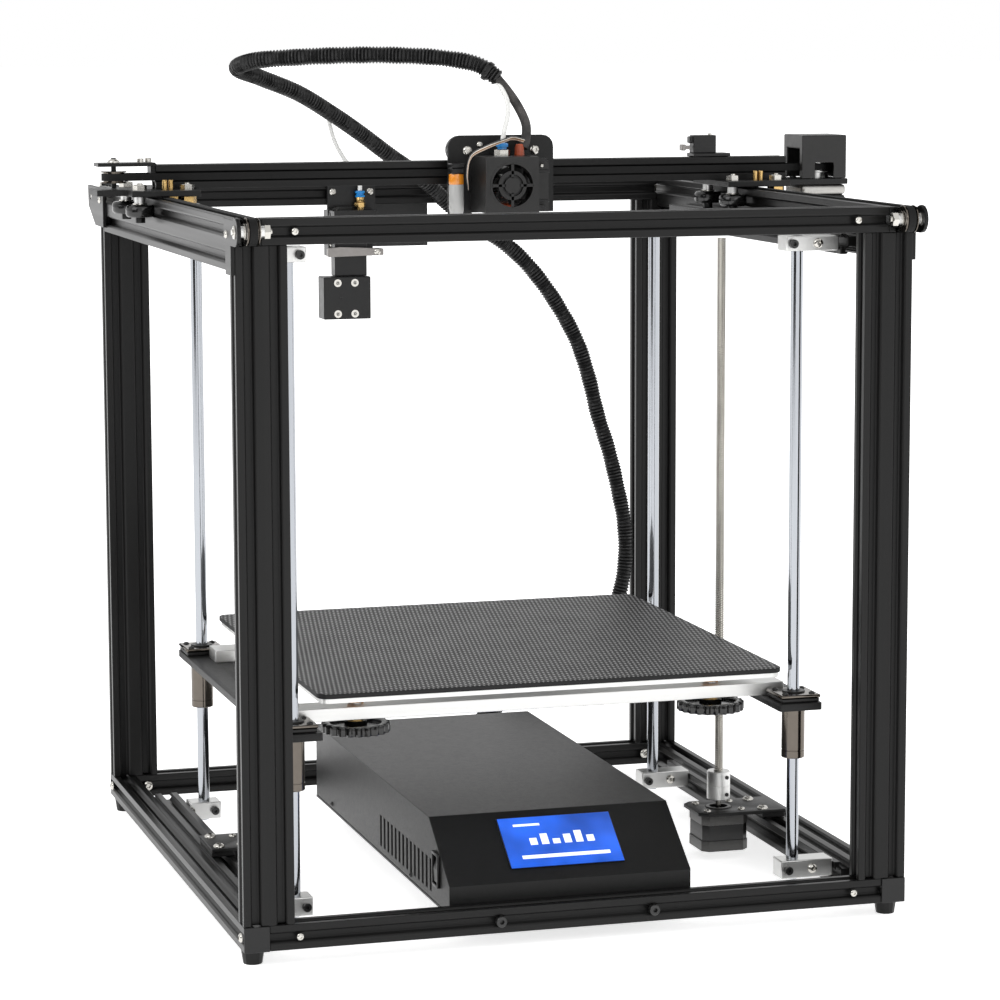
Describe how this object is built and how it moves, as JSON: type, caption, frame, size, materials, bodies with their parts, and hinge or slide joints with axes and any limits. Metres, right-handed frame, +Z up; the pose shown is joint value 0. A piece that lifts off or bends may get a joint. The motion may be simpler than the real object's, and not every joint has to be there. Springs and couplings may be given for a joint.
{
  "type": "fdm printer",
  "caption": "Large open cube-frame fused filament printer of slotted rails, with a screw-lifted glass bed, a belt-driven gantry and head, and a low control box",
  "frame": {"origin": "under the middle of the footprint, on the surface the feet stand on", "axes": "+X to the machine's right, +Y to its rear, +Z up"},
  "size_m": [0.67, 0.65, 0.6965],
  "materials": {
    "anodised_rail": "black anodised aluminium extrusion, satin, with fine drawing lines along its length",
    "black_sheet": "black powder coat on folded steel, fine orange peel",
    "black_plastic": "moulded black plastic, satin",
    "bright_aluminium": "bare machined aluminium, faint milling marks",
    "chrome_rod": "ground and chromed steel, mirror bright",
    "motor_black": "black laminated motor body with cast end caps",
    "bed_glass": "black coated glass with a fine pale dot grid",
    "screen_glass": "lit blue display under a clear cover",
    "belt_rubber": "black toothed rubber belt",
    "brass_fitting": "turned brass, bright",
    "probe_white": "translucent white moulded plastic",
    "loom_plastic": "black corrugated conduit, slightly glossy on its ridges"
  },
  "bodies": {
    "root": {"post_front_left": "anodised_rail", "post_front_right": "anodised_rail", "post_rear_left": "anodised_rail", "post_rear_right": "anodised_rail", "base_rail_front": "anodised_rail", "base_rail_rear": "anodised_rail", "base_rail_left": "anodised_rail", "base_rail_right": "anodised_rail", "top_rail_front": "anodised_rail", "top_rail_rear": "anodised_rail", "y_rail_left": "anodised_rail", "y_rail_right": "anodised_rail", "guide_rod_front_left": "chrome_rod", "guide_rod_front_right": "chrome_rod", "guide_rod_rear_left": "chrome_rod", "guide_rod_rear_right": "chrome_rod", "z_motor_left": "motor_black", "z_motor_right": "motor_black", "control_box_cover": "black_sheet", "electronics_tray": "bright_aluminium", "touch_screen": "screen_glass", "y_belt_left": "belt_rubber", "y_belt_right": "belt_rubber", "y_motor": "motor_black", "extruder_drive": "motor_black", "filament_sensor": "black_plastic", "cable_loom": "loom_plastic"},
    "bed": {"build_plate": "bed_glass", "heated_plate": "bright_aluminium", "bed_bar_front": "bright_aluminium", "bed_bar_rear": "bright_aluminium", "bed_carrier_left": "black_sheet", "bed_carrier_right": "black_sheet"},
    "knob_front_left": {"level_knob_front_left": "black_plastic"},
    "knob_front_right": {"level_knob_front_right": "black_plastic"},
    "knob_rear_left": {"level_knob_rear_left": "black_plastic"},
    "knob_rear_right": {"level_knob_rear_right": "black_plastic"},
    "screw_left": {"lead_screw_left": "bright_aluminium"},
    "screw_right": {"lead_screw_right": "bright_aluminium"},
    "gantry": {"gantry_beam": "anodised_rail", "gantry_plate_left": "black_sheet", "gantry_plate_right": "black_sheet", "x_belt": "belt_rubber", "x_motor": "motor_black", "x_motor_cover": "black_sheet"},
    "wheel_left_front": {"rail_wheel_left_front": "black_plastic"},
    "wheel_left_rear": {"rail_wheel_left_rear": "black_plastic"},
    "wheel_right_front": {"rail_wheel_right_front": "black_plastic"},
    "wheel_right_rear": {"rail_wheel_right_rear": "black_plastic"},
    "idler_x": {"x_idler": "bright_aluminium"},
    "idler_y_left": {"y_idler_left": "bright_aluminium"},
    "idler_y_right": {"y_idler_right": "bright_aluminium"},
    "drive_shaft": {"y_drive_shaft": "bright_aluminium"},
    "head": {"head_plate": "black_sheet", "fan_shroud": "black_sheet", "hotend": "brass_fitting", "level_probe": "probe_white"},
    "fan": {"fan_rotor": "black_plastic"},
    "switch": {"power_switch": "black_plastic"},
    "lever": {"extruder_lever": "bright_aluminium"}
  },
  "joints": [
    {"name": "z_axis", "type": "slide", "parent": "root", "child": "bed", "axis": [0, 0, 1], "range_m": [-0.03, 0.34]},
    {"name": "y_axis", "type": "slide", "parent": "root", "child": "gantry", "axis": [0, 1, 0], "range_m": [-0.25, 0.13]},
    {"name": "x_axis", "type": "slide", "parent": "gantry", "child": "head", "axis": [1, 0, 0], "range_m": [-0.2, 0.122]},
    {"name": "screw_left_turn", "type": "hinge", "parent": "root", "child": "screw_left", "pos_m": [-0.2297, -0.06, 0.06], "axis": [0, 0, 1], "continuous": true},
    {"name": "screw_right_turn", "type": "hinge", "parent": "root", "child": "screw_right", "pos_m": [0.181, -0.06, 0.06], "axis": [0, 0, 1], "continuous": true},
    {"name": "knob_front_left_turn", "type": "hinge", "parent": "bed", "child": "knob_front_left", "pos_m": [-0.177, -0.201, 0.162], "axis": [0, 0, 1], "continuous": true},
    {"name": "knob_front_right_turn", "type": "hinge", "parent": "bed", "child": "knob_front_right", "pos_m": [0.122, -0.201, 0.162], "axis": [0, 0, 1], "continuous": true},
    {"name": "knob_rear_left_turn", "type": "hinge", "parent": "bed", "child": "knob_rear_left", "pos_m": [-0.177, 0.075, 0.162], "axis": [0, 0, 1], "continuous": true},
    {"name": "knob_rear_right_turn", "type": "hinge", "parent": "bed", "child": "knob_rear_right", "pos_m": [0.122, 0.075, 0.162], "axis": [0, 0, 1], "continuous": true},
    {"name": "wheel_left_front_turn", "type": "hinge", "parent": "gantry", "child": "wheel_left_front", "pos_m": [-0.301, 0.027, 0.562], "axis": [0, 0, 1], "continuous": true},
    {"name": "wheel_left_rear_turn", "type": "hinge", "parent": "gantry", "child": "wheel_left_rear", "pos_m": [-0.301, 0.091, 0.562], "axis": [0, 0, 1], "continuous": true},
    {"name": "wheel_right_front_turn", "type": "hinge", "parent": "gantry", "child": "wheel_right_front", "pos_m": [0.223, 0.027, 0.562], "axis": [0, 0, 1], "continuous": true},
    {"name": "wheel_right_rear_turn", "type": "hinge", "parent": "gantry", "child": "wheel_right_rear", "pos_m": [0.223, 0.091, 0.562], "axis": [0, 0, 1], "continuous": true},
    {"name": "x_idler_turn", "type": "hinge", "parent": "gantry", "child": "idler_x", "pos_m": [-0.317, 0.059, 0.589], "axis": [0, 0, 1], "continuous": true},
    {"name": "y_idler_left_turn", "type": "hinge", "parent": "root", "child": "idler_y_left", "pos_m": [-0.281, -0.314, 0.563], "axis": [1, 0, 0], "continuous": true},
    {"name": "y_idler_right_turn", "type": "hinge", "parent": "root", "child": "idler_y_right", "pos_m": [0.243, -0.314, 0.563], "axis": [1, 0, 0], "continuous": true},
    {"name": "drive_shaft_turn", "type": "hinge", "parent": "root", "child": "drive_shaft", "pos_m": [-0.019, 0.311, 0.563], "axis": [1, 0, 0], "continuous": true},
    {"name": "fan_turn", "type": "hinge", "parent": "head", "child": "fan", "pos_m": [0.0095, -0.0095, 0.58], "axis": [0, 1, 0], "continuous": true},
    {"name": "switch_rock", "type": "hinge", "parent": "root", "child": "switch", "pos_m": [-0.121, -0.242, 0.052], "axis": [0, 1, 0], "range_deg": [-14, 0]},
    {"name": "lever_press", "type": "hinge", "parent": "root", "child": "lever", "pos_m": [-0.045, 0.236, 0.51], "axis": [0, 1, 0], "range_deg": [-12, 0], "stiffness_Nm_per_rad": 3}
  ],
  "couplings": [
    {"joint": "screw_left_turn", "follows": "z_axis", "rad_per_m": 785.4},
    {"joint": "screw_right_turn", "follows": "z_axis", "rad_per_m": 785.4},
    {"joint": "wheel_left_front_turn", "follows": "y_axis", "rad_per_m": -95.2},
    {"joint": "wheel_left_rear_turn", "follows": "y_axis", "rad_per_m": -95.2},
    {"joint": "wheel_right_front_turn", "follows": "y_axis", "rad_per_m": -95.2},
    {"joint": "wheel_right_rear_turn", "follows": "y_axis", "rad_per_m": -95.2},
    {"joint": "y_idler_left_turn", "follows": "y_axis", "rad_per_m": -103.1},
    {"joint": "y_idler_right_turn", "follows": "y_axis", "rad_per_m": -103.1},
    {"joint": "drive_shaft_turn", "follows": "y_axis", "rad_per_m": -103.1},
    {"joint": "x_idler_turn", "follows": "x_axis", "rad_per_m": 103.1}
  ]
}
